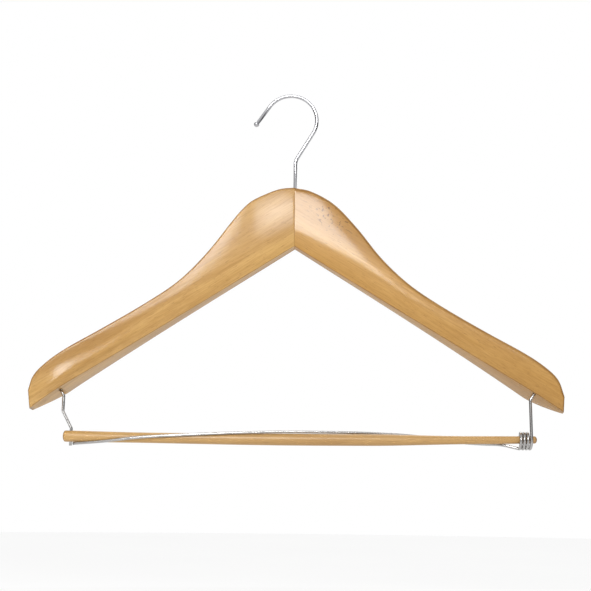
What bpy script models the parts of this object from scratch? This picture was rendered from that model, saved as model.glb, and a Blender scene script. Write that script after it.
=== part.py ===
"""Contoured wooden suit hanger with a swivel hook and a sprung trouser clamp.

Units are metres. X runs along the hanger, +Z is up and the front faces -Y.
The origin is the point of the hook's crown that rests on the rail, on the
axis that the hook turns about.
"""

import math

import bmesh
import bpy
from mathutils import Vector
from mathutils.geometry import interpolate_bezier

MM = 0.001
GAP = 0.3 * MM                    # clearance between neighbouring pieces
LEFT, RIGHT = -1, 1

# Hook: round wire, a ball tip and an upset head that the washer holds
HOOK_WIRE_R = 1.6 * MM
CROWN_R = 23.2 * MM               # centre line of the round crown
CROWN_OFFSET = -4.6 * MM          # crown centre, sideways from the stem
CROWN_RISE = 63.3 * MM            # crown centre above the top of the wood
CROWN_LOW_ANGLE = math.radians(-31)
CROWN_END_ANGLE = math.radians(145)
HOOK_TIP_RUN = 20 * MM            # straight end between the crown and the ball
HOOK_BEND_R = 10 * MM
HOOK_BALL_R = 2.4 * MM
HOOK_HEAD_R = 2.7 * MM
HOOK_HEAD_H = 2.4 * MM
HOOK_HEAD_CHAMFER = 0.3 * MM

CROWN_Z = -math.sqrt((CROWN_R - HOOK_WIRE_R) ** 2 - CROWN_OFFSET ** 2)
HEAD_TOP_Z = CROWN_Z - CROWN_RISE

# Hook fixing, sunk in the joint between the arms (depths below the wood's top)
MOUTH_DEPTH = 3 * MM
BUSH_LENGTH = 16 * MM
BUSH_R = 3.2 * MM
WASHER_H = 1 * MM
WASHER_R = 3.1 * MM
SOCKET_DEPTH = 25 * MM
BUSH_TOP_Z = HEAD_TOP_Z - MOUTH_DEPTH - GAP
WASHER_TOP_Z = BUSH_TOP_Z - BUSH_LENGTH - GAP
HOOK_HEAD_TOP_Z = WASHER_TOP_Z - WASHER_H - GAP

# Arms
HALF_WIDTH = 222 * MM
HEAD_HEIGHT = 52.9 * MM           # wood height at the joint
ARM_SLOPE = 0.64                 # fall of the underside for each unit outwards
ARM_TIP_X = {LEFT: 218 * MM, RIGHT: 221 * MM}   # where the underside ends
TIP_DROP = {LEFT: 3.8 * MM, RIGHT: 1.2 * MM}    # its extra fall over the last stretch
TIP_DROP_START = 185 * MM
UNDERSIDE_TILT = {LEFT: 0.062, RIGHT: 0.155}    # its fall from front to back, at the tip
HEAD_THICKNESS = 13.5 * MM
END_THICKNESS = 38 * MM
FLARE_POWER = 2.6
FORWARD_REACH = 20 * MM           # how far the arms' ends curve forward
NOSE_START = 193 * MM             # where the back starts to round off towards the tip
NOSE_DEPTH = 31 * MM
NOSE_POWER = 1.5
TOP_ROUNDING = 5 * MM
LOWER_ROUNDING = 0.25             # share of the top rounding
TIP_ROUNDING = 0.5                # the same, down the arm's tip
# Upper edges, in mm: distance out from the joint and height from the wood's top
TOP_MARKS = {
    LEFT: [(0, 0), (15, -2), (35, -11), (45, -19.5), (55, -32), (75, -59), (98, -83.6), (125, -103.4),
           (160, -125.6), (190, -144), (207, -157), (216.5, -168), (220, -180)],
    RIGHT: [(0, 0), (15, -3.8), (35, -16), (55, -38), (75, -64), (98, -86.9), (125, -106.4),
            (160, -128.2), (190, -146), (207, -158), (217.5, -169), (222, -183)]}
ARM_STATIONS = 4                  # sections in each stretch of the top outline

# Joint dowels
DOWEL_R = 2.5 * MM
DOWEL_LENGTH = 28 * MM
DOWEL_DEPTHS = {"upper": 32.5 * MM, "lower": 42.5 * MM}

# Trouser bar
BAR_DROP = 217.3 * MM             # bar axis below the top of the wood
BAR_Y = -13 * MM
BAR_LEFT_X = -191 * MM
BAR_RIGHT_X = 200.3 * MM
BAR_SAG = 1.4 * MM                # bow of the bar at its middle
# Radius along the bar, in mm: (x, radius)
BAR_RADII = [(-191, 4.7), (-125, 4.3), (0, 4.9), (60, 4.8), (150, 3.3), (200.3, 3)]
BAR_STATIONS = 16
DOME_DEPTH = 2 * MM
BAR_Z = HEAD_TOP_Z - BAR_DROP     # bar axis at its two ends

# Steel legs, coil and clamp: one gauge of spring wire
WIRE_R = 1.2 * MM
LEG_BEND_R = 3 * MM
LEG_SOCKET_DEPTH = 10 * MM
LEFT_LEG_ENTRY_X = -195.5 * MM
LEFT_LEG_X = -192.3 * MM
LEFT_LEG_KNEE_DROP = 196.5 * MM   # lower bend, below the top of the wood
CATCH_X = -184.5 * MM             # where the left leg goes through the bar
CATCH_LENGTH = 3 * MM             # stub that shows under the bar
RIGHT_LEG_X = 195 * MM
RIGHT_LEG_ENTRY_X = 198.5 * MM
COIL_R = 6.4 * MM
COIL_TURNS = 3.25
COIL_PITCH = 2.8 * MM
COIL_DROP = 1 * MM                # coil axis below the bar's axis
COIL_STEPS = 16                   # points in each turn
STRAIGHT_ABOVE_COIL = 4 * MM

# Clamp run: (x, angle round the bar), 0 in front, 90 on top, 180 behind
PIVOT_X = 50 * MM
FIXED_RUN = [(172, 236), (158, 221), (142, 204), (126, 176), (108, 148), (90, 130), (70, 117)]
CLAMP_RUN = [(25, 91), (-12, 74), (-50, 50), (-87, 27), (-125, 1), (-155, -38), (-182, -78)]
PIVOT_ANGLE = 104


# ---------------------------------------------------------------- helpers

def clear_scene():
    for item in list(bpy.data.objects):
        bpy.data.objects.remove(item, do_unlink=True)


def make_material(name, colour, roughness, metallic=0.0):
    material = bpy.data.materials.new(name)
    material.use_nodes = True
    shader = material.node_tree.nodes["Principled BSDF"]
    shader.inputs["Base Color"].default_value = (*colour, 1)
    shader.inputs["Roughness"].default_value = roughness
    shader.inputs["Metallic"].default_value = metallic
    return material


def add_object(name, data, material=None):
    item = bpy.data.objects.new(name, data)
    bpy.context.scene.collection.objects.link(item)
    if material:
        data.materials.append(material)
    return item


def mesh_object(name, shape, material=None):
    """Turns a bmesh into a smooth-shaded object."""
    bmesh.ops.recalc_face_normals(shape, faces=shape.faces)
    mesh = bpy.data.meshes.new(name)
    shape.to_mesh(mesh)
    shape.free()
    mesh.shade_smooth()
    mesh.set_sharp_from_angle(angle=math.radians(35))
    return add_object(name, mesh, material)


def skin_rings(shape, rings, closed=False):
    """Joins rings of points with quads; a ring of one point is a pole."""
    loops = [[shape.verts.new(p) for p in ring] for ring in rings]
    following = loops[1:] + loops[:1] if closed else loops[1:]
    for low, high in zip(loops, following):
        count = max(len(low), len(high))
        for i in range(count):
            j = (i + 1) % count
            corners = [low[i % len(low)], low[j % len(low)], high[j % len(high)], high[i % len(high)]]
            shape.faces.new(list(dict.fromkeys(corners)))
    return loops


def turned(name, profile, material=None, segments=24, closed=False):
    """A solid of revolution about Z from (radius, height) pairs."""
    shape = bmesh.new()
    rings = []
    for radius, height in profile:
        steps = segments if radius > 0 else 1
        turns = [2 * math.pi * i / steps for i in range(steps)]
        rings.append([(radius * math.cos(a), radius * math.sin(a), height) for a in turns])
    skin_rings(shape, rings, closed)
    return mesh_object(name, shape, material)


def place(item, location, direction):
    """Puts a turned solid's Z axis along a direction."""
    item.rotation_mode = "QUATERNION"
    item.rotation_quaternion = Vector(direction).to_track_quat("Z", "Y")
    item.location = location
    return item


def cylinder(name, radius, start, end, material=None, segments=20):
    """A plain rod between two points."""
    run = Vector(end) - Vector(start)
    profile = [(0, 0), (radius, 0), (radius, run.length), (0, run.length)]
    return place(turned(name, profile, material, segments), start, run)


def cutter(item):
    item.hide_render = True
    item.display_type = "WIRE"
    return item


def cut(target, tool):
    boolean = target.modifiers.new("cut " + tool.name, "BOOLEAN")
    boolean.operation = "DIFFERENCE"
    boolean.solver = "EXACT"
    boolean.object = tool


def rounded_path(corners, radius, steps=5):
    """A polyline with an arc at each inner corner."""
    corners = [Vector(c) for c in corners]
    path = [corners[0]]
    for before, corner, after in zip(corners, corners[1:], corners[2:]):
        back = (before - corner).normalized()
        ahead = (after - corner).normalized()
        half = back.angle(ahead) / 2
        room = 0.45 * min((before - corner).length, (after - corner).length)
        reach = min(radius / math.tan(half), room)
        arc_r = reach * math.tan(half)
        centre = corner + (back + ahead).normalized() * (arc_r / math.sin(half))
        start = (corner + back * reach - centre).normalized()
        finish = (corner + ahead * reach - centre).normalized()
        path += [centre + arc_r * start.slerp(finish, i / steps) for i in range(steps + 1)]
    return path + [corners[-1]]


def spline_through(points, steps):
    """A smooth curve through points, as a row of Bezier pieces."""
    points = [Vector(p) for p in points]
    ends = [2 * points[0] - points[1]] + points + [2 * points[-1] - points[-2]]
    path = []
    for before, start, finish, after in zip(ends, ends[1:], ends[2:], ends[3:]):
        leave = start + (finish - before) / 6
        arrive = finish - (after - start) / 6
        path += interpolate_bezier(start, leave, arrive, finish, steps + 1)[:-1]
    return path + [points[-1]]


def wire(name, path, radius, material, radii=None, resolution=2):
    """A round wire along a path, with its own radius at each point."""
    curve = bpy.data.curves.new(name, "CURVE")
    curve.dimensions = "3D"
    curve.bevel_depth = radius
    curve.bevel_resolution = resolution
    curve.use_fill_caps = True
    spline = curve.splines.new("POLY")
    spline.points.add(len(path) - 1)
    radii = radii or [radius] * len(path)
    for point, place_, size in zip(spline.points, path, radii):
        point.co = (*place_, 1)
        point.radius = size / radius
    spline.use_smooth = True
    return add_object(name, curve, material)


# ---------------------------------------------------------------- arms

def past(x, start, end):
    """Share of the way from start to end, 0 before the start."""
    return max(abs(x) - start, 0) / (end - start)


def underside_z(x):
    """Height of the underside's front edge; x is negative on the left arm."""
    side = LEFT if x < 0 else RIGHT
    drop = TIP_DROP[side] * past(x, TIP_DROP_START, HALF_WIDTH) ** 2
    return HEAD_TOP_Z - HEAD_HEIGHT - ARM_SLOPE * abs(x) - drop


def front_y(x):
    return -HEAD_THICKNESS / 2 - FORWARD_REACH * (abs(x) / HALF_WIDTH) ** 2


def thickness(x):
    flare = (abs(x) / HALF_WIDTH) ** FLARE_POWER
    nose = NOSE_DEPTH * past(x, NOSE_START, HALF_WIDTH) ** NOSE_POWER
    return HEAD_THICKNESS + (END_THICKNESS - HEAD_THICKNESS) * flare - nose


def top_outline(side):
    """Upper edge of an arm, from the joint to the middle of the tip."""
    marks = [(x, z, 0) for x, z in TOP_MARKS[side]]
    return [(p.x * MM, HEAD_TOP_Z + p.y * MM) for p in spline_through(marks, ARM_STATIONS)]


def make_arm(name, side, material):
    """Four-cornered sections along the arm, with their edges rounded after."""
    outline = top_outline(side)
    shape = bmesh.new()
    rings = []
    for x, z in outline:
        x = max(x, GAP / 2)
        low_x = GAP / 2 + (ARM_TIP_X[side] - GAP / 2) * x / outline[-1][0]
        front, back = front_y(x), front_y(x) + thickness(x)
        low_front, low_back = front_y(low_x), front_y(low_x) + thickness(low_x)
        low_z = underside_z(side * low_x)
        tilt = UNDERSIDE_TILT[side] * low_x / HALF_WIDTH * thickness(low_x)
        rings.append([(side * low_x, low_front, low_z), (side * x, front, z),
                      (side * x, back, z), (side * low_x, low_back, low_z - tilt)])
    loops = skin_rings(shape, rings)
    shape.faces.new(loops[0])
    shape.faces.new(loops[-1])
    weights = shape.edges.layers.float.new("bevel_weight_edge")
    for low, high in zip(loops, loops[1:]):
        for corner, weight in enumerate((LOWER_ROUNDING, 1, 1, LOWER_ROUNDING)):
            shape.edges.get((low[corner], high[corner]))[weights] = weight
    end = loops[-1]
    for corner, weight in enumerate((TIP_ROUNDING, 0, TIP_ROUNDING, LOWER_ROUNDING)):
        shape.edges.get((end[corner], end[(corner + 1) % 4]))[weights] = weight
    arm = mesh_object(name, shape, material)
    bevel = arm.modifiers.new("rounded edges", "BEVEL")
    bevel.limit_method = "WEIGHT"
    bevel.width = TOP_ROUNDING
    bevel.segments = 4
    return arm


def hook_socket():
    """Stepped cavity in the joint: a narrow mouth over the bush's seat."""
    bore = BUSH_R + GAP
    seat = HEAD_TOP_Z - MOUTH_DEPTH
    mouth = HOOK_WIRE_R + GAP
    profile = [(0, HEAD_TOP_Z - SOCKET_DEPTH), (bore, HEAD_TOP_Z - SOCKET_DEPTH), (bore, seat),
               (mouth, seat), (mouth, HEAD_TOP_Z + 2 * MM), (0, HEAD_TOP_Z + 2 * MM)]
    return cutter(turned("hook_socket_cutter", profile))


def dowel_holes():
    holes = []
    for level, depth in DOWEL_DEPTHS.items():
        reach = DOWEL_LENGTH / 2 + 2 * GAP
        z = HEAD_TOP_Z - depth
        hole = cylinder(level + "_dowel_cutter", DOWEL_R + GAP, (-reach, 0, z), (reach, 0, z))
        holes.append(cutter(hole))
    return holes


def underside_inward(side):
    """Direction square to an arm's underside, into the wood."""
    return Vector((side * ARM_SLOPE, 0, 1)).normalized()


def leg_hole(name, entry, side):
    inward = underside_inward(side)
    start = entry - inward * 3 * MM
    end = entry + inward * (LEG_SOCKET_DEPTH + 2 * GAP)
    return cutter(cylinder(name, WIRE_R + GAP, start, end, segments=16))


# ---------------------------------------------------------------- hook

def hook_path():
    """Centre line from the upset head to the ball tip, with its radii."""
    centre = Vector((CROWN_OFFSET, 0, CROWN_Z))

    def on_crown(angle):
        return centre + CROWN_R * Vector((math.cos(angle), 0, math.sin(angle)))

    tangent_point = on_crown(CROWN_LOW_ANGLE)
    slope = Vector((-math.sin(CROWN_LOW_ANGLE), 0, math.cos(CROWN_LOW_ANGLE)))
    elbow = tangent_point - slope * (tangent_point.x / slope.x)
    head_low = HOOK_HEAD_TOP_Z - HOOK_HEAD_H
    edge = HOOK_HEAD_CHAMFER
    stem = [Vector((0, 0, z)) for z in (head_low, head_low + 2 * edge, HOOK_HEAD_TOP_Z - edge,
                                        HOOK_HEAD_TOP_Z, HOOK_HEAD_TOP_Z + edge)]
    radii = [HOOK_HEAD_R - 2 * edge, HOOK_HEAD_R, HOOK_HEAD_R, HOOK_HEAD_R - edge, HOOK_WIRE_R]
    bend = rounded_path([stem[-1], elbow, tangent_point], HOOK_BEND_R)[1:-1]
    arc_steps = 26
    sweep = CROWN_END_ANGLE - CROWN_LOW_ANGLE
    arc = [on_crown(CROWN_LOW_ANGLE + sweep * i / arc_steps) for i in range(arc_steps + 1)]
    leave = Vector((-math.sin(CROWN_END_ANGLE), 0, math.cos(CROWN_END_ANGLE)))
    ball = arc[-1] + leave * HOOK_TIP_RUN
    path = stem + bend + arc
    radii += [HOOK_WIRE_R] * (len(bend) + len(arc))
    neck = math.pi - math.asin(HOOK_WIRE_R / HOOK_BALL_R)
    pole = 0.1
    ball_steps = 9
    for i in range(ball_steps + 1):
        angle = neck + (pole - neck) * i / ball_steps
        path.append(ball + leave * (HOOK_BALL_R * math.cos(angle)))
        radii.append(HOOK_BALL_R * math.sin(angle))
    return path, radii


def make_hook(material):
    path, radii = hook_path()
    return wire("hook", path, HOOK_WIRE_R, material, radii, resolution=4)


def make_bush(material):
    inner = HOOK_WIRE_R + GAP
    low = -BUSH_LENGTH
    profile = [(inner, low), (BUSH_R, low), (BUSH_R, 0), (inner, 0)]
    bush = turned("hook_bush", profile, material, closed=True)
    bush.location.z = BUSH_TOP_Z
    return bush


def make_washer(material):
    inner = HOOK_WIRE_R + GAP
    profile = [(inner, -WASHER_H), (WASHER_R, -WASHER_H), (WASHER_R, 0), (inner, 0)]
    washer = turned("hook_washer", profile, material, closed=True)
    washer.location.z = WASHER_TOP_Z
    return washer


# ---------------------------------------------------------------- trouser bar

def bar_radius(x):
    """Radius of the turned bar, eased from each mark to the next."""
    marks = [(at * MM, radius * MM) for at, radius in BAR_RADII]
    for (x0, r0), (x1, r1) in zip(marks, marks[1:]):
        if x <= x1:
            t = max((x - x0) / (x1 - x0), 0)
            return r0 + (r1 - r0) * t * t * (3 - 2 * t)
    return marks[-1][1]


def bar_z(x):
    along = (x - BAR_LEFT_X) / (BAR_RIGHT_X - BAR_LEFT_X)
    return BAR_Z - 4 * BAR_SAG * along * (1 - along)


def make_bar(material):
    """A turned wooden rod with domed ends, thickest in the middle."""
    dome = [(math.sin(math.radians(a)), DOME_DEPTH * (1 - math.cos(math.radians(a)))) for a in (0, 35, 65)]
    profile = [(BAR_LEFT_X + rise, across) for across, rise in dome]
    first, last = BAR_LEFT_X + DOME_DEPTH, BAR_RIGHT_X - DOME_DEPTH
    profile += [(first + (last - first) * i / BAR_STATIONS, 1) for i in range(BAR_STATIONS + 1)]
    profile += [(BAR_RIGHT_X - rise, across) for across, rise in reversed(dome)]
    shape = bmesh.new()
    rings = []
    for x, share in profile:
        radius = share * bar_radius(x)
        lift = bar_z(x) - BAR_Z
        steps = 24 if radius > 0 else 1
        turns = [2 * math.pi * i / steps for i in range(steps)]
        rings.append([(x - BAR_LEFT_X, radius * math.cos(a), lift + radius * math.sin(a)) for a in turns])
    skin_rings(shape, rings)
    bar = mesh_object("trouser_bar", shape, material)
    bar.location = (BAR_LEFT_X, BAR_Y, BAR_Z)
    return bar


# ---------------------------------------------------------------- wires

def round_bar(x, angle_deg):
    """The centre of a wire that lies on the bar, at an angle round it."""
    reach = bar_radius(x) + WIRE_R + GAP
    angle = math.radians(angle_deg)
    return Vector((x, BAR_Y - reach * math.cos(angle), bar_z(x) + reach * math.sin(angle)))


def run_points(marks):
    return [round_bar(x * MM, angle) for x, angle in marks]


def left_leg_entry():
    return Vector((LEFT_LEG_ENTRY_X, BAR_Y, underside_z(LEFT_LEG_ENTRY_X)))


def right_leg_entry():
    return Vector((RIGHT_LEG_ENTRY_X, BAR_Y - COIL_R, underside_z(RIGHT_LEG_ENTRY_X)))


def elbow_below(entry, side, leg_x):
    """Where the leg, square to the underside, turns to run down."""
    inward = underside_inward(side)
    return entry - inward * ((entry.x - leg_x) / inward.x)


def make_left_leg(material):
    entry = left_leg_entry()
    bar_centre, bar_r = bar_z(CATCH_X), bar_radius(CATCH_X)
    corners = [entry + underside_inward(LEFT) * LEG_SOCKET_DEPTH,
               elbow_below(entry, LEFT, LEFT_LEG_X),
               (LEFT_LEG_X, BAR_Y, HEAD_TOP_Z - LEFT_LEG_KNEE_DROP),
               (CATCH_X, BAR_Y, bar_centre + bar_r + 2 * MM),
               (CATCH_X, BAR_Y, bar_centre - bar_r - CATCH_LENGTH)]
    return wire("left_leg", rounded_path(corners, LEG_BEND_R), WIRE_R, material)


def coil_points():
    """Turns that start in front of the bar and run down, back and over."""
    centre = Vector((0, BAR_Y, BAR_Z - COIL_DROP))
    count = round(COIL_TURNS * COIL_STEPS)
    points = []
    for i in range(count + 1):
        turn = i / COIL_STEPS
        angle = -2 * math.pi * turn
        offset = Vector((0, -COIL_R * math.cos(angle), COIL_R * math.sin(angle)))
        points.append(centre + offset + Vector((RIGHT_LEG_X - COIL_PITCH * turn, 0, 0)))
    return points


def make_right_leg(material):
    """Right leg, coil and the stretch of clamp wire that stays behind the bar."""
    entry = right_leg_entry()
    coil = coil_points()
    leg = rounded_path([entry + underside_inward(RIGHT) * LEG_SOCKET_DEPTH,
                        elbow_below(entry, RIGHT, RIGHT_LEG_X),
                        coil[0] + Vector((0, 0, STRAIGHT_ABOVE_COIL))], LEG_BEND_R)
    pivot = round_bar(PIVOT_X + 2 * GAP, PIVOT_ANGLE)
    run = spline_through([coil[-1]] + run_points(FIXED_RUN) + [pivot], 5)[1:]
    return wire("right_leg_spring", leg + coil + run, WIRE_R, material)


def make_clamp(material):
    pivot = round_bar(PIVOT_X, PIVOT_ANGLE)
    points = [pivot] + run_points(CLAMP_RUN)
    clamp = wire("clamp_wire", [p - pivot for p in spline_through(points, 4)], WIRE_R, material)
    clamp.location = pivot
    return clamp


# ---------------------------------------------------------------- assembly

def build():
    clear_scene()
    lacquered = make_material("lacquered_wood", (0.55, 0.32, 0.12), 0.25)
    bar_wood = make_material("bar_wood", (0.5, 0.29, 0.1), 0.4)
    dowel_wood = make_material("dowel_wood", (0.62, 0.45, 0.26), 0.6)
    chrome = make_material("hook_chrome", (0.75, 0.75, 0.77), 0.12, 1.0)
    nickel = make_material("spring_wire", (0.7, 0.7, 0.7), 0.2, 1.0)
    steel = make_material("steel", (0.5, 0.5, 0.5), 0.35, 1.0)

    left_arm = make_arm("left_arm", LEFT, lacquered)
    right_arm = make_arm("right_arm", RIGHT, lacquered)
    for tool in [hook_socket()] + dowel_holes():
        cut(left_arm, tool)
        cut(right_arm, tool)
    cut(left_arm, leg_hole("left_leg_cutter", left_leg_entry(), LEFT))
    cut(right_arm, leg_hole("right_leg_cutter", right_leg_entry(), RIGHT))
    for level, depth in DOWEL_DEPTHS.items():
        z = HEAD_TOP_Z - depth
        half = DOWEL_LENGTH / 2
        cylinder("joint_dowel_" + level, DOWEL_R, (-half, 0, z), (half, 0, z), dowel_wood)

    make_hook(chrome)
    make_bush(steel)
    make_washer(steel)

    bar = make_bar(bar_wood)
    bore = cylinder("catch_cutter", WIRE_R + GAP, (CATCH_X, BAR_Y, BAR_Z - 12 * MM),
                    (CATCH_X, BAR_Y, BAR_Z + 12 * MM), segments=16)
    cut(bar, cutter(bore))
    make_left_leg(nickel)
    make_right_leg(nickel)
    make_clamp(nickel)


build()
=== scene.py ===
"""Looks of the wooden suit hanger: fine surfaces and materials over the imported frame."""

import math

import bmesh
import bpy
from mathutils import Matrix, Vector
from mathutils.geometry import interpolate_bezier


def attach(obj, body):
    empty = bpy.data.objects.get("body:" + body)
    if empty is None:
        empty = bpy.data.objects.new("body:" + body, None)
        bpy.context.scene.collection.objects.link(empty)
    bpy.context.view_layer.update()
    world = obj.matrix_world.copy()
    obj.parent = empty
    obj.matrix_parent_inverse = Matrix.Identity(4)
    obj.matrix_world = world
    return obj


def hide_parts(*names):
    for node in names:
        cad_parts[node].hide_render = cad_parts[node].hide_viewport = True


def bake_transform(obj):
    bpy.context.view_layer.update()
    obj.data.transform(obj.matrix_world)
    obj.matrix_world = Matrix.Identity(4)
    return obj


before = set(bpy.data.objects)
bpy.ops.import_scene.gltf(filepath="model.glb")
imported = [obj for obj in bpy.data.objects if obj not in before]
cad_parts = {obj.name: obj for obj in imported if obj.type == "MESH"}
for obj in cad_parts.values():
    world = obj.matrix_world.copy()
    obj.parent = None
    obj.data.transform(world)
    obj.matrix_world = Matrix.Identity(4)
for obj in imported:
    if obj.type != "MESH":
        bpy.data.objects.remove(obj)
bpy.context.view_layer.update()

MM = 0.001
GAP = 0.3 * MM
GLUE_LINE = 0.01 * MM             # between the two arms at their joint
ARC_SHARE = 0.45                  # the most of a straight run that an arc at its end takes
CUT_OVERLAP = 1 * MM              # by which one cutter runs into the next
CUT_OVERSHOOT = 3 * MM            # by which a cutter runs on past the surface
SHARP_ANGLE = math.radians(40)
LEFT, RIGHT = -1, 1

# Hook
HOOK_WIRE_R = 1.6 * MM
CROWN_R = 23.2 * MM
CROWN_OFFSET = -4.6 * MM
CROWN_RISE = 63.3 * MM
CROWN_LOW_ANGLE = math.radians(-31)
CROWN_END_ANGLE = math.radians(145)
HOOK_TIP_RUN = 20 * MM
HOOK_BEND_R = 10 * MM
HOOK_BALL_R = 2.4 * MM
HOOK_HEAD_R = 2.7 * MM
HOOK_HEAD_H = 2.4 * MM
HOOK_HEAD_CHAMFER = 0.3 * MM
CROWN_Z = -math.sqrt((CROWN_R - HOOK_WIRE_R) ** 2 - CROWN_OFFSET ** 2)
HEAD_TOP_Z = CROWN_Z - CROWN_RISE
MOUTH_DEPTH = 3 * MM
BUSH_R = 3.2 * MM
BUSH_H = 16 * MM
WASHER_H = 1 * MM
SOCKET_DEPTH = 25 * MM
HOOK_HEAD_TOP_Z = HEAD_TOP_Z - MOUTH_DEPTH - BUSH_H - WASHER_H - 3 * GAP

# Arms
HALF_WIDTH = 222 * MM
HEAD_HEIGHT = 52.9 * MM
ARM_SLOPE = 0.64
ARM_TIP_X = {LEFT: 218 * MM, RIGHT: 221 * MM}
TIP_DROP = {LEFT: 3.8 * MM, RIGHT: 1.2 * MM}
TIP_DROP_START = 185 * MM
UNDERSIDE_TILT = {LEFT: 0.062, RIGHT: 0.155}
HEAD_THICKNESS = 13.5 * MM
END_THICKNESS = 38 * MM
FLARE_POWER = 2.6
FORWARD_REACH = 20 * MM
NOSE_START = 193 * MM
NOSE_DEPTH = 31 * MM
NOSE_POWER = 1.5
NOSE_BLEND = 8 * MM
FULL_ROUNDING = 5 * MM            # reach of the top edges' rounding where the wood is thick enough
TOP_SHARE = 0.45                  # the most of the thickness that one top edge's rounding takes
LOWER_ROUNDING = 0.22             # as shares of the full rounding
JOINT_ROUNDING = 0.05
ROUNDING_STEPS = 8
TOP_MARKS = {
    LEFT: [(0, 0), (15, -2), (35, -11), (45, -19.5), (55, -32), (75, -59), (98, -83.6), (125, -103.4),
           (160, -125.6), (190, -144), (207, -157), (216.5, -168), (220, -180)],
    RIGHT: [(0, 0), (15, -3.8), (35, -16), (55, -38), (75, -64), (98, -86.9), (125, -106.4),
            (160, -128.2), (190, -146), (207, -158), (217.5, -169), (222, -183)]}
ARM_STATIONS = 10
TIP_STATIONS_SKIPPED = 3          # so that the rounding has room in the last stretch
BELLY_HEIGHT = 11 * MM            # the front face leans back below this height
BELLY_SHARE = 0.4                 # or below this share of its height, where it is low
BELLY_DEPTH = 0.6 * MM
VALLEY_SLOPE = 0.035              # the front face falls forward from the joint at this slope,
VALLEY_REACH = 80 * MM            # which fades out over this distance
TIP_ROLL = 2 * MM                 # near its end the face turns back by this much
TIP_ROLL_START = 188 * MM
DOWEL_R = 2.5 * MM
DOWEL_LENGTH = 28 * MM
DOWEL_DEPTHS = (32.5 * MM, 42.5 * MM)

# Trouser bar
BAR_DROP = 217.3 * MM
BAR_Y = -13 * MM
BAR_LEFT_X = -191 * MM
BAR_RIGHT_X = 200.3 * MM
BAR_SAG = 1.4 * MM
BAR_RADII = [(-191, 4.7), (-125, 4.3), (0, 4.9), (60, 4.8), (150, 3.3), (200.3, 3)]
BAR_STATIONS = 120
BAR_SIDES = 48
DOME_DEPTH = 2 * MM
BAR_Z = HEAD_TOP_Z - BAR_DROP

# Wires
WIRE_R = 1.2 * MM
LEG_BEND_R = 3 * MM
LEG_SOCKET_DEPTH = 10 * MM
LEFT_LEG_ENTRY_X = -195.5 * MM
LEFT_LEG_X = -192.3 * MM
LEFT_LEG_KNEE_DROP = 196.5 * MM
CATCH_X = -184.5 * MM
CATCH_RISE = 2 * MM               # straight run of the catch above the bar
CATCH_LENGTH = 3 * MM             # and below it
CATCH_HOLE_REACH = 12 * MM
RIGHT_LEG_X = 195 * MM
RIGHT_LEG_ENTRY_X = 198.5 * MM
COIL_R = 6.4 * MM
COIL_TURNS = 3.25
COIL_PITCH = 2.8 * MM
COIL_DROP = 1 * MM
COIL_STEPS = 40
STRAIGHT_ABOVE_COIL = 4 * MM
PIVOT_X = 50 * MM
PIVOT_ANGLE = 104
# Places along the bar in mm, and degrees round it from its front over its top
FIXED_RUN = [(172, 236), (158, 221), (142, 204), (126, 176), (108, 148), (90, 130), (70, 117)]
CLAMP_RUN = [(25, 91), (-12, 74), (-50, 50), (-87, 27), (-125, 1), (-155, -38), (-182, -78)]

# Camera
AZIMUTH = math.radians(3.03)
ELEVATION = math.radians(-10.97)
ROLL = math.radians(0.632)
DISTANCE = 0.886
TARGET = Vector((0.00126, 0, -0.17945))
LENS = 62.73
SENSOR = 36
FLOOR_Z = -0.75
FLOOR_R = 10.3


# ---------------------------------------------------------------- meshes

def mesh_object(name, shape):
    """A smooth-shaded object of the built shape."""
    bmesh.ops.recalc_face_normals(shape, faces=shape.faces)
    mesh = bpy.data.meshes.new(name)
    shape.to_mesh(mesh)
    shape.free()
    mesh.shade_smooth()
    item = bpy.data.objects.new(name, mesh)
    bpy.context.scene.collection.objects.link(item)
    return item


def skin_rings(shape, rings):
    """Joins rings of points with quads; a ring of one point is a pole."""
    loops = [[shape.verts.new(p) for p in ring] for ring in rings]
    for low, high in zip(loops, loops[1:]):
        count = max(len(low), len(high))
        for i in range(count):
            j = (i + 1) % count
            corners = [low[i % len(low)], low[j % len(low)], high[j % len(high)], high[i % len(high)]]
            shape.faces.new(list(dict.fromkeys(corners)))
    return loops


def cylinder(name, radius, start, end, segments=32):
    start, end = Vector(start), Vector(end)
    run = end - start
    side = run.orthogonal().normalized()
    over = run.normalized().cross(side)
    turns = [2 * math.pi * i / segments for i in range(segments)]
    ring = [radius * (math.cos(a) * side + math.sin(a) * over) for a in turns]
    shape = bmesh.new()
    skin_rings(shape, [[start], [start + p for p in ring], [end + p for p in ring], [end]])
    return mesh_object(name, shape)


def bake(item):
    """Keeps the modifiers' result as the object's own mesh."""
    bpy.context.view_layer.update()
    result = bpy.data.meshes.new_from_object(item.evaluated_get(bpy.context.evaluated_depsgraph_get()))
    item.modifiers.clear()
    item.data = result


def drill(item, tools):
    """Cuts the tools' shapes out of the object."""
    for tool in tools:
        boolean = item.modifiers.new(tool.name, "BOOLEAN")
        boolean.operation = "DIFFERENCE"
        boolean.solver = "MANIFOLD"
        boolean.object = tool
    bake(item)
    for tool in tools:
        bpy.data.objects.remove(tool, do_unlink=True)


def mark_edges(item, facing, plain=lambda vertex: 0):
    """Writes how rounded off each point lies, which the wood's painted edge shade follows: 0 on flats, 1
    halfway round an edge, and less where plain.
    """
    values = []
    for vertex in item.data.vertices:
        share = min(abs(vertex.normal.dot(facing)), 1)
        values.append((1 - plain(vertex)) * 2 * share * math.sqrt(1 - share * share))
    layer = item.data.attributes.new("edge", "FLOAT", "POINT")
    layer.data.foreach_set("value", values)


def running_lengths(path):
    """How far along the path each of its points lies."""
    lengths = [0.0]
    for a, b in zip(path, path[1:]):
        lengths.append(lengths[-1] + (b - a).length)
    return lengths


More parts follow.
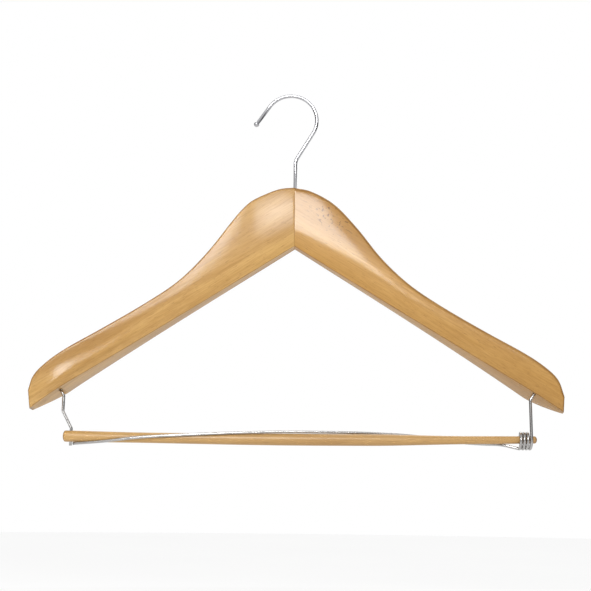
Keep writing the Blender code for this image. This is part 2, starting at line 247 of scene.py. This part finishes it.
def rounded_path(corners, radius, steps=12):
    """Straight runs between the corners, with an arc at each corner."""
    corners = [Vector(c) for c in corners]
    path = [corners[0]]
    for before, corner, after in zip(corners, corners[1:], corners[2:]):
        back = (before - corner).normalized()
        ahead = (after - corner).normalized()
        half = back.angle(ahead) / 2
        room = ARC_SHARE * min((before - corner).length, (after - corner).length)
        reach = min(radius / math.tan(half), room)
        arc_r = reach * math.tan(half)
        centre = corner + (back + ahead).normalized() * (arc_r / math.sin(half))
        start = (corner + back * reach - centre).normalized()
        finish = (corner + ahead * reach - centre).normalized()
        path += [centre + arc_r * start.slerp(finish, i / steps) for i in range(steps + 1)]
    return path + [corners[-1]]


def spline_through(points, steps):
    """A smooth curve through all the points."""
    points = [Vector(p) for p in points]
    ends = [2 * points[0] - points[1]] + points + [2 * points[-1] - points[-2]]
    path = []
    for before, start, finish, after in zip(ends, ends[1:], ends[2:], ends[3:]):
        leave = start + (finish - before) / 6
        arrive = finish - (after - start) / 6
        path += interpolate_bezier(start, leave, arrive, finish, steps + 1)[:-1]
    return path + [points[-1]]


def tube(name, path, radii, sides=24):
    """A round wire along a path, with its length and its turn in a UV map."""
    path = [Vector(p) for p in path]
    steps = [(b - a).normalized() for a, b in zip(path, path[1:])]
    headings = [steps[0]] + [(a + b).normalized() for a, b in zip(steps, steps[1:])] + [steps[-1]]
    out = headings[0].orthogonal().normalized()
    rings = []
    previous = headings[0]
    for point, heading, radius in zip(path, headings, radii):
        out = previous.rotation_difference(heading) @ out
        out = (out - heading * out.dot(heading)).normalized()
        previous = heading
        over = heading.cross(out)
        turns = [2 * math.pi * i / sides for i in range(sides)]
        rings.append([point + radius * (math.cos(a) * out + math.sin(a) * over) for a in turns])
    shape = bmesh.new()
    loops = skin_rings(shape, [[path[0]]] + rings + [[path[-1]]])
    along = running_lengths(path)
    along = [along[0]] + along + [along[-1]]
    place = {}
    for level, loop in zip(along, loops):
        for i, vert in enumerate(loop):
            place[vert] = (level, i / sides)
    uv = shape.loops.layers.uv.new("run")
    for face in shape.faces:
        turns = [place[c.vert][1] for c in face.loops]
        wraps = max(turns) - min(turns) > 0.5
        for corner in face.loops:
            level, turn = place[corner.vert]
            corner[uv].uv = (level, turn + 1 if wraps and turn < 0.5 else turn)
    return mesh_object(name, shape)


# ---------------------------------------------------------------- arms

def past(x, start, end):
    """How far out x lies past start, as a share of the way from start to end."""
    return max(abs(x) - start, 0) / (end - start)


def underside_z(x):
    side = LEFT if x < 0 else RIGHT
    drop = TIP_DROP[side] * past(x, TIP_DROP_START, HALF_WIDTH) ** 2
    return HEAD_TOP_Z - HEAD_HEIGHT - ARM_SLOPE * abs(x) - drop


def front_y(x):
    """The plain forward curve, which the back of the wood is measured from."""
    return -HEAD_THICKNESS / 2 - FORWARD_REACH * (abs(x) / HALF_WIDTH) ** 2


def thickness(x):
    flare = (abs(x) / HALF_WIDTH) ** FLARE_POWER
    nose = NOSE_DEPTH * past(x, NOSE_START, HALF_WIDTH) ** NOSE_POWER
    return HEAD_THICKNESS + (END_THICKNESS - HEAD_THICKNESS) * flare - nose


def behind_nose(vertex):
    """1 on the slanted back of an arm's end, 0 elsewhere."""
    return min(past(vertex.co.x, NOSE_START, NOSE_START + NOSE_BLEND), 1) if vertex.normal.y > 0 else 0


def underside_inward(side):
    return Vector((side * ARM_SLOPE, 0, 1)).normalized()


def face_y(x):
    """The front face: it leaves the joint in a shallow valley before the arm curves forward."""
    fade = 1 - math.exp(-abs(x) / VALLEY_REACH)
    full = 1 - math.exp(-HALF_WIDTH / VALLEY_REACH)
    forward = FORWARD_REACH - VALLEY_SLOPE * VALLEY_REACH * full
    rolled_back = TIP_ROLL * past(x, TIP_ROLL_START, HALF_WIDTH) ** 2
    curve = forward * (abs(x) / HALF_WIDTH) ** 2 - rolled_back
    return -HEAD_THICKNESS / 2 - VALLEY_SLOPE * VALLEY_REACH * fade - curve


def back_y(x):
    return front_y(x) + thickness(x)


def top_rounding(x):
    """Share of the full rounding that the top edges have there: less where the wood is thin."""
    return min(TOP_SHARE * thickness(x) / FULL_ROUNDING, 1)


def arm_section(side, x, z, along):
    """Corners of one section, in order: low front, belly line, top front, top back and low back."""
    low_x = GLUE_LINE / 2 + (ARM_TIP_X[side] - GLUE_LINE / 2) * along
    low_z = underside_z(side * low_x)
    tilt = UNDERSIDE_TILT[side] * low_x / HALF_WIDTH * thickness(low_x)
    low = Vector((side * low_x, face_y(low_x), low_z))
    top = Vector((side * x, face_y(x), z))
    belly = low.lerp(top, min(BELLY_HEIGHT / (top - low).length, BELLY_SHARE))
    low.y += BELLY_DEPTH
    top_back = Vector((side * x, back_y(x), z))
    low_back = Vector((side * low_x, back_y(low_x), low_z - tilt))
    return [low, belly, top, top_back, low_back]


def make_arm(name, side):
    marks = [(x * MM, z * MM, 0) for x, z in TOP_MARKS[side]]
    outline = spline_through(marks, ARM_STATIONS)
    outline = outline[:-TIP_STATIONS_SKIPPED] + outline[-1:]
    lengths = running_lengths(outline)
    rings = [arm_section(side, max(p.x, GLUE_LINE / 2), HEAD_TOP_Z + p.y, length / lengths[-1])
             for p, length in zip(outline, lengths)]
    shape = bmesh.new()
    loops = skin_rings(shape, rings)
    shape.faces.new(loops[0])
    shape.faces.new(loops[-1])
    weights = shape.edges.layers.float.new("bevel_weight_edge")
    for low, high, place in zip(loops, loops[1:], outline[1:]):
        top = top_rounding(place.x)
        for corner, weight in enumerate((LOWER_ROUNDING, 0, top, top, LOWER_ROUNDING)):
            shape.edges.get((low[corner], high[corner]))[weights] = weight
    tip = top_rounding(outline[-1].x)
    ends = ((loops[0], [JOINT_ROUNDING] * 5), (loops[-1], [tip, tip, 0, tip, LOWER_ROUNDING]))
    for loop, end_weights in ends:
        for corner, following, weight in zip(loop, loop[1:] + loop[:1], end_weights):
            shape.edges.get((corner, following))[weights] = weight
    arm = mesh_object(name, shape)
    bevel = arm.modifiers.new("rounded edges", "BEVEL")
    bevel.limit_method = "WEIGHT"
    bevel.width = FULL_ROUNDING
    bevel.segments = ROUNDING_STEPS
    bevel.harden_normals = True
    bake(arm)
    return arm


def arm_tools(side):
    """Cutters for the hook's socket, the dowels and the leg."""
    seat = HEAD_TOP_Z - MOUTH_DEPTH
    mouth_top = HEAD_TOP_Z + CUT_OVERSHOOT
    mouth = cylinder("mouth", HOOK_WIRE_R + GAP, (0, 0, seat - CUT_OVERLAP), (0, 0, mouth_top))
    bore = cylinder("bore", BUSH_R + GAP, (0, 0, HEAD_TOP_Z - SOCKET_DEPTH), (0, 0, seat))
    reach = DOWEL_LENGTH / 2 + 2 * GAP
    tools = [mouth, bore]
    for depth in DOWEL_DEPTHS:
        z = HEAD_TOP_Z - depth
        tools.append(cylinder("dowel_hole", DOWEL_R + GAP, (-reach, 0, z), (reach, 0, z)))
    entry = left_leg_entry() if side == LEFT else right_leg_entry()
    inward = underside_inward(side)
    hole_end = entry + inward * (LEG_SOCKET_DEPTH + 2 * GAP)
    tools.append(cylinder("leg_hole", WIRE_R + GAP, entry - inward * CUT_OVERSHOOT, hole_end))
    return tools


# ---------------------------------------------------------------- hook

def make_hook():
    centre = Vector((CROWN_OFFSET, 0, CROWN_Z))

    def on_crown(angle):
        return centre + CROWN_R * Vector((math.cos(angle), 0, math.sin(angle)))

    tangent_point = on_crown(CROWN_LOW_ANGLE)
    slope = Vector((-math.sin(CROWN_LOW_ANGLE), 0, math.cos(CROWN_LOW_ANGLE)))
    elbow = tangent_point - slope * (tangent_point.x / slope.x)
    head_low = HOOK_HEAD_TOP_Z - HOOK_HEAD_H
    edge = HOOK_HEAD_CHAMFER
    stem = [Vector((0, 0, z)) for z in (head_low, head_low + 2 * edge, HOOK_HEAD_TOP_Z - edge,
                                        HOOK_HEAD_TOP_Z, HOOK_HEAD_TOP_Z + edge)]
    radii = [HOOK_HEAD_R - 2 * edge, HOOK_HEAD_R, HOOK_HEAD_R, HOOK_HEAD_R - edge, HOOK_WIRE_R]
    bend = rounded_path([stem[-1], elbow, tangent_point], HOOK_BEND_R, 16)[1:-1]
    arc_steps = 80
    sweep = CROWN_END_ANGLE - CROWN_LOW_ANGLE
    arc = [on_crown(CROWN_LOW_ANGLE + sweep * i / arc_steps) for i in range(arc_steps + 1)]
    leave = Vector((-math.sin(CROWN_END_ANGLE), 0, math.cos(CROWN_END_ANGLE)))
    ball = arc[-1] + leave * HOOK_TIP_RUN
    path = stem + bend + arc
    radii += [HOOK_WIRE_R] * (len(bend) + len(arc))
    neck = math.pi - math.asin(HOOK_WIRE_R / HOOK_BALL_R)
    pole = 0.05                       # radians short of the ball's far point
    ball_steps = 20
    for i in range(ball_steps + 1):
        angle = neck + (pole - neck) * i / ball_steps
        path.append(ball + leave * (HOOK_BALL_R * math.cos(angle)))
        radii.append(HOOK_BALL_R * math.sin(angle))
    return tube("hook_wire", path, radii, 32)


# ---------------------------------------------------------------- bar

def bar_radius(x):
    marks = [(at * MM, radius * MM) for at, radius in BAR_RADII]
    for (x0, r0), (x1, r1) in zip(marks, marks[1:]):
        if x <= x1:
            t = max((x - x0) / (x1 - x0), 0)
            return r0 + (r1 - r0) * t * t * (3 - 2 * t)
    return marks[-1][1]


def bar_z(x):
    along = (x - BAR_LEFT_X) / (BAR_RIGHT_X - BAR_LEFT_X)
    return BAR_Z - 4 * BAR_SAG * along * (1 - along)


def make_bar():
    angles = [math.radians(a) for a in range(0, 91, 10)]
    dome = [(math.sin(a), DOME_DEPTH * (1 - math.cos(a))) for a in angles]
    profile = [(BAR_LEFT_X + rise, across) for across, rise in dome]
    first, last = BAR_LEFT_X + DOME_DEPTH, BAR_RIGHT_X - DOME_DEPTH
    profile += [(first + (last - first) * i / BAR_STATIONS, 1) for i in range(1, BAR_STATIONS)]
    profile += [(BAR_RIGHT_X - rise, across) for across, rise in reversed(dome)]
    rings = []
    for x, share in profile:
        radius = share * bar_radius(x)
        sides = BAR_SIDES if radius > 0 else 1
        turns = [2 * math.pi * i / sides for i in range(sides)]
        rings.append([(x, BAR_Y + radius * math.cos(a), bar_z(x) + radius * math.sin(a)) for a in turns])
    shape = bmesh.new()
    skin_rings(shape, rings)
    bar = mesh_object("bar_rod", shape)
    reach = Vector((0, 0, CATCH_HOLE_REACH))
    middle = Vector((CATCH_X, BAR_Y, BAR_Z))
    drill(bar, [cylinder("catch_hole", WIRE_R + GAP, middle - reach, middle + reach)])
    return bar


# ---------------------------------------------------------------- wires

def round_bar(x, angle_deg):
    """Where the wire's middle lies on the bar, some degrees from its front over its top."""
    reach = bar_radius(x) + WIRE_R + GAP
    angle = math.radians(angle_deg)
    return Vector((x, BAR_Y - reach * math.cos(angle), bar_z(x) + reach * math.sin(angle)))


def left_leg_entry():
    return Vector((LEFT_LEG_ENTRY_X, BAR_Y, underside_z(LEFT_LEG_ENTRY_X)))


def right_leg_entry():
    return Vector((RIGHT_LEG_ENTRY_X, BAR_Y - COIL_R, underside_z(RIGHT_LEG_ENTRY_X)))


def elbow_below(entry, side, leg_x):
    inward = underside_inward(side)
    return entry - inward * ((entry.x - leg_x) / inward.x)


def wire(name, path):
    """A spring wire of one thickness, cut square at its two ends."""
    return tube(name, path, [WIRE_R] * len(path))


def make_left_leg():
    entry = left_leg_entry()
    centre, radius = bar_z(CATCH_X), bar_radius(CATCH_X)
    corners = [entry + underside_inward(LEFT) * LEG_SOCKET_DEPTH,
               elbow_below(entry, LEFT, LEFT_LEG_X),
               (LEFT_LEG_X, BAR_Y, HEAD_TOP_Z - LEFT_LEG_KNEE_DROP),
               (CATCH_X, BAR_Y, centre + radius + CATCH_RISE),
               (CATCH_X, BAR_Y, centre - radius - CATCH_LENGTH)]
    return wire("left_leg_wire", rounded_path(corners, LEG_BEND_R))


def coil_points():
    centre = Vector((0, BAR_Y, BAR_Z - COIL_DROP))
    points = []
    for i in range(round(COIL_TURNS * COIL_STEPS) + 1):
        turn = i / COIL_STEPS
        angle = -2 * math.pi * turn
        offset = Vector((0, -COIL_R * math.cos(angle), COIL_R * math.sin(angle)))
        points.append(centre + offset + Vector((RIGHT_LEG_X - COIL_PITCH * turn, 0, 0)))
    return points


def make_spring():
    """Right leg, coil and clamp as the one wire that they are."""
    entry = right_leg_entry()
    coil = coil_points()
    leg = rounded_path([entry + underside_inward(RIGHT) * LEG_SOCKET_DEPTH,
                        elbow_below(entry, RIGHT, RIGHT_LEG_X),
                        coil[0] + Vector((0, 0, STRAIGHT_ABOVE_COIL))], LEG_BEND_R)
    marks = FIXED_RUN + [(PIVOT_X / MM, PIVOT_ANGLE)] + CLAMP_RUN
    run = spline_through([coil[-1]] + [round_bar(x * MM, angle) for x, angle in marks], 12)[1:]
    return wire("spring_wire", leg + coil + run)


# ---------------------------------------------------------------- shader helpers

def add(tree, kind, inputs=None, **settings):
    """A node with its settings, and with each input linked or given its value."""
    item = tree.nodes.new(kind)
    for key, value in settings.items():
        setattr(item, key, value)
    for key, value in (inputs or {}).items():
        if isinstance(value, bpy.types.NodeSocket):
            tree.links.new(value, item.inputs[key])
        else:
            item.inputs[key].default_value = value
    return item


def new_material(name, **constants):
    """A material whose constants are shader inputs, by their names in lower case."""
    material = bpy.data.materials.new(name)
    material.use_nodes = True
    shader = material.node_tree.nodes["Principled BSDF"]
    for key, value in constants.items():
        shader.inputs[key.replace("_", " ").title().replace("Ior", "IOR")].default_value = value
    return material, material.node_tree, shader


def scaled(tree, vector, scale, offset=(0, 0, 0), turn=(0, 0, 0)):
    inputs = {"Vector": vector, "Scale": scale, "Location": offset, "Rotation": turn}
    return add(tree, "ShaderNodeMapping", inputs).outputs[0]


def noise(tree, vector, scale=1.0, detail=2.0, roughness=0.5, distortion=0.0):
    inputs = {"Vector": vector, "Scale": scale, "Detail": detail, "Roughness": roughness,
              "Distortion": distortion}
    return add(tree, "ShaderNodeTexNoise", inputs).outputs[0]


def spread(tree, value, low, high, to_low=0.0, to_high=1.0):
    """Stretches the range from low to high onto the new one, and holds its ends outside it."""
    inputs = {"Value": value, "From Min": low, "From Max": high, "To Min": to_low, "To Max": to_high}
    return add(tree, "ShaderNodeMapRange", inputs).outputs[0]


def mix(tree, factor, a, b):
    """Goes from colour a to colour b as the factor goes from 0 to 1."""
    item = tree.nodes.new("ShaderNodeMix")
    item.data_type = "RGBA"
    for index, value in ((0, factor), (6, a), (7, b)):
        if isinstance(value, bpy.types.NodeSocket):
            tree.links.new(value, item.inputs[index])
        else:
            item.inputs[index].default_value = value if index == 0 else (*value, 1)
    return item.outputs[2]


def times(tree, a, b):
    return add(tree, "ShaderNodeMath", {0: a, 1: b}, operation="MULTIPLY").outputs[0]


def plus(tree, a, b):
    return add(tree, "ShaderNodeMath", {0: a, 1: b}, operation="ADD").outputs[0]


def bump(tree, height, strength, distance):
    inputs = {"Height": height, "Strength": strength, "Distance": distance}
    return add(tree, "ShaderNodeBump", inputs).outputs[0]


# ---------------------------------------------------------------- materials

HONEY = (0.61, 0.36, 0.115)
PALE_HONEY = (0.73, 0.465, 0.18)
AMBER = (0.345, 0.165, 0.038)
PORE = (0.22, 0.095, 0.028)
FLECK = (0.10, 0.04, 0.015)
# painted shade for the wood's rounded edges
EDGE_SHADE_BROWN = (0.25, 0.11, 0.022)
# the right arm's wood: a more orange tone of its own, and darker than the left as painted shade
SHADED_RIGHT_HONEY = (0.52, 0.28, 0.075)
SHADED_RIGHT_PALE_HONEY = (0.63, 0.365, 0.118)
BEECH = (0.66, 0.46, 0.26)
PALE_BEECH = (0.74, 0.55, 0.34)
DARK_BEECH = (0.5, 0.31, 0.15)
CHROME = (0.57, 0.57, 0.59)
DULL_CHROME = (0.42, 0.42, 0.44)
NICKEL = (0.52, 0.51, 0.50)
DULL_NICKEL = (0.36, 0.34, 0.32)
DARK_SPECK = (0.16, 0.14, 0.12)
STEEL = (0.50, 0.50, 0.50)
STAINED_STEEL = (0.36, 0.35, 0.33)
FLOOR_GREY = (0.84, 0.84, 0.84)
FLOOR_WHITE = (0.88, 0.88, 0.875)
FLECKS_CENTRE = (0.038, -0.0068, -0.106)
FLECKS_R = 0.03
FLECKS_STRETCH = Vector((1, 2.5, 1))   # depth counts more, so that they stay on the front
LACQUER = {"roughness": 0.45, "specular_ior_level": 0.12, "coat_weight": 0.45, "coat_roughness": 0.1,
           "coat_ior": 1.5}
SATIN = {"roughness": 0.45, "coat_weight": 0.5, "coat_roughness": 0.3}


def wood(name, grain_turn, offset, pale=PALE_HONEY, mid=HONEY, dark=AMBER, streak=1.0, flecks=None,
         **finish):
    """Hardwood with growth bands, streaks, fibres and pores under lacquer, and painted shade that browns
    its rounded edges.

    The scales are noise cells per metre: along the grain first, then across it.
    """
    material, tree, shader = new_material(name, **finish)
    position = add(tree, "ShaderNodeTexCoord").outputs["Object"]
    grain = scaled(tree, position, (1, 1, 1), offset, (0, grain_turn, 0))
    bands = scaled(tree, grain, (5, 42, 75))
    broad = spread(tree, noise(tree, bands, 1, 3, 0.55, 0.6), 0.3, 0.72)
    colour = mix(tree, broad, mid, pale)
    slow = spread(tree, noise(tree, scaled(tree, grain, (3.5, 22, 30), (3, 1, 7)), 1, 2), 0.42, 0.72)
    colour = mix(tree, times(tree, slow, 0.8 * streak), colour, dark)
    lines = spread(tree, noise(tree, scaled(tree, grain, (9, 150, 330)), 1, 3, 0.6, 0.3), 0.5, 0.78)
    colour = mix(tree, times(tree, lines, 0.6 * streak), colour, dark)
    fibres = noise(tree, scaled(tree, grain, (50, 900, 1100)), 1, 3, 0.6)
    colour = mix(tree, spread(tree, fibres, 0.42, 0.75, 0, 0.45), colour, dark)
    pores = spread(tree, noise(tree, scaled(tree, grain, (170, 1500, 1700), (5, 5, 5)), 1, 1), 0.66, 0.72)
    colour = mix(tree, times(tree, pores, 0.4), colour, PORE)
    if flecks:
        centre, radius = flecks
        inputs = {0: scaled(tree, position, FLECKS_STRETCH), 1: FLECKS_STRETCH * Vector(centre)}
        away = add(tree, "ShaderNodeVectorMath", inputs, operation="DISTANCE").outputs["Value"]
        near = spread(tree, away, radius, 0.4 * radius)
        dots = spread(tree, noise(tree, scaled(tree, grain, (320, 560, 560), (2, 9, 4)), 1, 2), 0.62, 0.66)
        colour = mix(tree, times(tree, times(tree, near, dots), 0.8), colour, FLECK)
    edge = add(tree, "ShaderNodeAttribute", attribute_name="edge").outputs["Fac"]
    patchy = noise(tree, scaled(tree, grain, (60, 200, 200)), 1, 3)
    # painted shade: the rounded edges browned in patches, and made a little rougher as well
    edge_shade = times(tree, spread(tree, edge, 0.2, 0.95), spread(tree, patchy, 0.3, 0.7, 0.45, 0.9))
    colour = mix(tree, edge_shade, colour, EDGE_SHADE_BROWN)
    tree.links.new(colour, shader.inputs["Base Color"])
    worn = plus(tree, spread(tree, fibres, 0.3, 0.7, 0.0, 0.12), edge_shade)
    base = finish.get("roughness", 0.4)
    tree.links.new(spread(tree, worn, 0, 0.6, base, base + 0.25), shader.inputs["Roughness"])
    relief = plus(tree, fibres, times(tree, pores, -0.8))
    tree.links.new(bump(tree, relief, 0.25, 0.00025), shader.inputs["Normal"])
    sheet = noise(tree, scaled(tree, grain, (6, 35, 60)), 1, 1.5, 0.5)
    tree.links.new(bump(tree, sheet, 0.2, 0.0007), shader.inputs["Coat Normal"])
    return material


def plated(name, tint, dull, **finish):
    """Bright plating on drawn wire: faint draw lines, haze and small dark specks."""
    material, tree, shader = new_material(name, metallic=1.0, **finish)
    run = add(tree, "ShaderNodeTexCoord").outputs["UV"]
    draw = noise(tree, scaled(tree, run, (60, 22, 1)), 1, 3, 0.6)
    haze = noise(tree, scaled(tree, run, (70, 6, 1), (1, 4, 0)), 1, 4, 0.65)
    colour = mix(tree, spread(tree, haze, 0.45, 0.75), tint, dull)
    specks = spread(tree, noise(tree, scaled(tree, run, (900, 12, 1), (7, 3, 0)), 1, 2), 0.72, 0.78)
    colour = mix(tree, times(tree, specks, 0.6), colour, DARK_SPECK)
    tree.links.new(colour, shader.inputs["Base Color"])
    smooth = finish.get("roughness", 0.15)
    tree.links.new(spread(tree, haze, 0.3, 0.75, smooth * 0.8, smooth * 2.0), shader.inputs["Roughness"])
    tree.links.new(bump(tree, draw, 0.2, 0.00004), shader.inputs["Normal"])
    return material


def turned_steel(name):
    """Plain steel with the rings that turning leaves round its axis."""
    material, tree, shader = new_material(name, metallic=1.0)
    position = add(tree, "ShaderNodeTexCoord").outputs["Object"]
    rings = noise(tree, scaled(tree, position, (90, 90, 5200)), 1, 2)
    stain = noise(tree, position, 420, 3)
    colour = mix(tree, spread(tree, stain, 0.4, 0.7), STEEL, STAINED_STEEL)
    tree.links.new(colour, shader.inputs["Base Color"])
    tree.links.new(spread(tree, rings, 0.3, 0.7, 0.28, 0.5), shader.inputs["Roughness"])
    tree.links.new(bump(tree, rings, 0.3, 0.00005), shader.inputs["Normal"])
    return material


def floor_material():
    """Pale matt floor, which glows more further out so that it runs into the backdrop."""
    material, tree, shader = new_material("pale_floor", roughness=0.9, emission_color=(1, 1, 1, 1))
    position = add(tree, "ShaderNodeTexCoord").outputs["Object"]
    away = add(tree, "ShaderNodeVectorMath", {0: position}, operation="LENGTH").outputs["Value"]
    tree.links.new(spread(tree, away, 2.0, 3.9, 0.03, 0.41), shader.inputs["Emission Strength"])
    tone = noise(tree, position, 0.8, 2)
    colour = mix(tree, tone, FLOOR_GREY, FLOOR_WHITE)
    tree.links.new(colour, shader.inputs["Base Color"])
    return material


# ---------------------------------------------------------------- scene

def make_camera():
    back = Vector((math.sin(AZIMUTH) * math.cos(ELEVATION), -math.cos(AZIMUTH) * math.cos(ELEVATION),
                   math.sin(ELEVATION)))
    right = Vector((math.cos(AZIMUTH), math.sin(AZIMUTH), 0))
    up = back.cross(right)
    rolled_right = right * math.cos(ROLL) + up * math.sin(ROLL)
    rolled_up = up * math.cos(ROLL) - right * math.sin(ROLL)
    data = bpy.data.cameras.new("camera")
    data.lens = LENS
    data.sensor_width = SENSOR
    camera = bpy.data.objects.new("camera", data)
    bpy.context.scene.collection.objects.link(camera)
    turn = Matrix((rolled_right, rolled_up, back)).transposed().to_4x4()
    camera.matrix_world = Matrix.Translation(TARGET + back * DISTANCE) @ turn
    bpy.context.scene.camera = camera


def softbox(name, location, target, size, power, grid_deg=180):
    """A soft rectangle of light; a grid on it narrows its beam."""
    data = bpy.data.lights.new(name, "AREA")
    data.spread = math.radians(grid_deg)
    data.shape = "RECTANGLE"
    data.size, data.size_y = size
    data.energy = power
    light = bpy.data.objects.new(name, data)
    bpy.context.scene.collection.objects.link(light)
    light.location = location
    light.rotation_mode = "QUATERNION"
    light.rotation_quaternion = (Vector(target) - Vector(location)).to_track_quat("-Z", "Y")


def make_world():
    """A white backdrop, whose light on the hanger is brightest from above and dim from the sides."""
    world = bpy.data.worlds.new("studio")
    bpy.context.scene.world = world
    world.use_nodes = True
    tree = world.node_tree
    sky = tree.nodes["Background"]
    heading = add(tree, "ShaderNodeTexCoord").outputs["Generated"]
    parts = add(tree, "ShaderNodeSeparateXYZ", {0: heading}).outputs
    front = spread(tree, parts["Y"], -0.2, -0.85, 0.03, 0.34)
    behind = spread(tree, parts["Y"], 0.1, 0.8, 0.0, 0.22)
    above = spread(tree, parts["Z"], 0.1, 0.9, 0.0, 0.7)
    glow = plus(tree, plus(tree, front, behind), above)
    seen = add(tree, "ShaderNodeLightPath").outputs["Is Camera Ray"]
    sky.inputs["Color"].default_value = (1, 1, 1, 1)
    strength = add(tree, "ShaderNodeMix", {0: seen, 2: glow, 3: 1.0}, data_type="FLOAT").outputs[0]
    tree.links.new(strength, sky.inputs["Strength"])


def make_floor():
    shape = bmesh.new()
    bmesh.ops.create_circle(shape, cap_ends=True, segments=96, radius=FLOOR_R)
    floor = mesh_object("floor", shape)
    floor.location.z = FLOOR_Z
    floor.data.materials.append(floor_material())


def make_lights():
    softbox("key", (-0.37, -2.0, 0.64), (-0.37, 0, 0.64), (0.56, 0.60), 24)
    softbox("joint_light", (0.11, -2.0, 0.555), (-0.03, 0, -0.12), (0.16, 0.39), 0.02, grid_deg=12)
    softbox("left_glint", (-0.20, -1.5, -0.125), (-0.2, 0, -0.25), (0.12, 0.18), 0.009, grid_deg=14)
    softbox("back_light", (0.5, 1.6, 1.6), (0, 0, -0.2), (2.4, 2.4), 24)


def dress(piece, material, body, slot_name, *nodes):
    """Gives a piece its material and its body, and hides the CAD nodes that it stands for."""
    piece.data.materials.clear()
    piece.data.materials.append(material)
    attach(piece, body)
    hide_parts(*nodes)


def repaint(node, material):
    """A CAD node that keeps its shape gets a finished material."""
    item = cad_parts[node]
    if not item.material_slots:
        item.data.materials.append(material)
    for holder in item.material_slots:
        holder.link = "OBJECT"
        holder.material = material


def make_pieces():
    turn = math.atan(ARM_SLOPE)
    left_wood = wood("lacquered_wood_left", turn, (0.31, 0.07, 0.11), **LACQUER)
    # the right arm gets a more orange wood, darkened as painted shade
    right_wood = wood("lacquered_wood_right", -turn, (0.83, 0.41, 0.53), pale=SHADED_RIGHT_PALE_HONEY,
                      mid=SHADED_RIGHT_HONEY, streak=0.8, flecks=(FLECKS_CENTRE, FLECKS_R), **LACQUER)
    bar_wood = wood("bar_wood", 0, (0.2, 0.6, 0.9), streak=0.8, **SATIN)
    dowel_wood = wood("dowel_wood", 0, (0.5, 0.3, 0.2), pale=PALE_BEECH, mid=BEECH, dark=DARK_BEECH,
                      roughness=0.6)
    chrome = plated("hook_chrome", CHROME, DULL_CHROME, roughness=0.17)
    nickel = plated("spring_nickel", NICKEL, DULL_NICKEL, roughness=0.2)

    for name, side, material, node in (("shoulder_left", LEFT, left_wood, "left_arm"),
                                       ("shoulder_right", RIGHT, right_wood, "right_arm")):
        arm = make_arm(name, side)
        drill(arm, arm_tools(side))
        arm.data.set_sharp_from_angle(angle=SHARP_ANGLE)
        mark_edges(arm, Vector((0, 1, 0)), behind_nose)
        dress(arm, material, "hanger", "lacquered_wood", node)

    bar = make_bar()
    bar.data.set_sharp_from_angle(angle=SHARP_ANGLE)
    mark_edges(bar, Vector((1, 0, 0)))
    dress(bar, bar_wood, "hanger", "bar_wood", "trouser_bar")
    dress(make_hook(), chrome, "hook", "hook_chrome", "hook")
    dress(make_left_leg(), nickel, "hanger", "spring_wire", "left_leg")

    spring = make_spring()
    spring.data.materials.append(nickel)
    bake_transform(spring)
    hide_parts("right_leg_spring", "clamp_wire")

    steel = turned_steel("turned_steel")
    for node in ("hook_bush", "hook_washer"):
        repaint(node, steel)
    for node in ("joint_dowel_upper", "joint_dowel_lower"):
        repaint(node, dowel_wood)


make_camera()
make_world()
make_floor()
make_lights()
make_pieces()
bpy.context.scene.view_settings.view_transform = "Standard"
